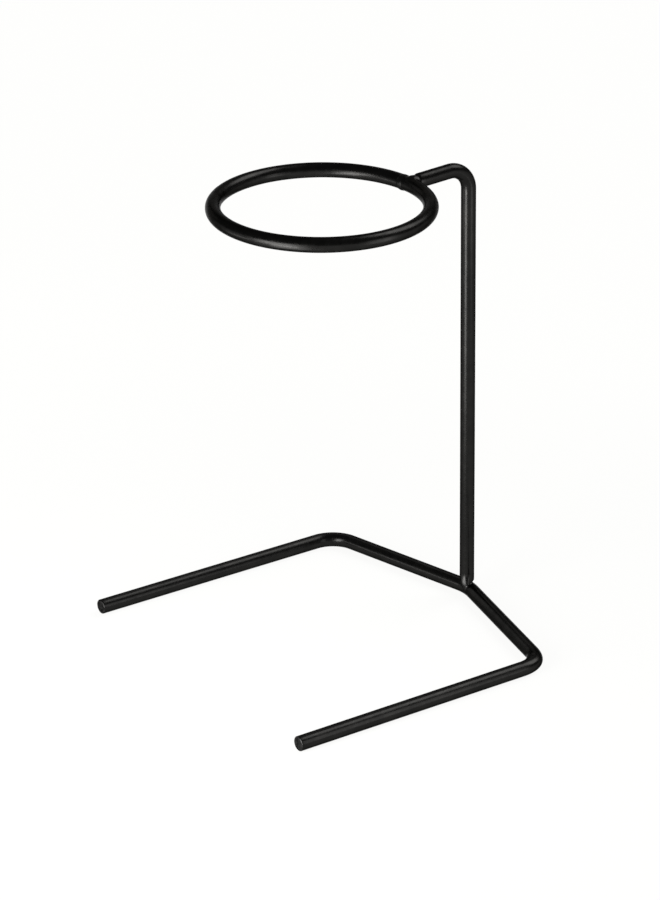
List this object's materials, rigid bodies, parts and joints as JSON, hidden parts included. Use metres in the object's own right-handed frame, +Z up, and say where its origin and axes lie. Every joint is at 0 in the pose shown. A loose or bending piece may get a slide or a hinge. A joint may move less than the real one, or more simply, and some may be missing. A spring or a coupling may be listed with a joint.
{
  "type": "pour over dripper stand",
  "caption": "Free-standing wire stand: a flat open base rod, an upright post bent forward at the top, and a hoop on its arm that carries a cone coffee dripper above a cup.",
  "frame": {"origin": "on the table, under the centre of the stand's bounding box", "axes": "+Z up along the post, -Y towards the open front that the leg ends and the arm point to, +X to the right of someone who faces that front from outside, looking along +Y"},
  "size_m": [0.1492, 0.1344, 0.188],
  "materials": {
    "rod_coating": "black satin powder coating on round steel rod",
    "weld_coating": "the same black coating, lying thicker and a little rougher over the weld beads"
  },
  "bodies": {
    "root": {"base_rod": "rod_coating", "post_rod": "rod_coating", "holder_ring": "rod_coating", "post_foot_weld": "weld_coating", "arm_end_weld": "weld_coating", "ring_seam_weld": "weld_coating"}
  },
  "joints": []
}
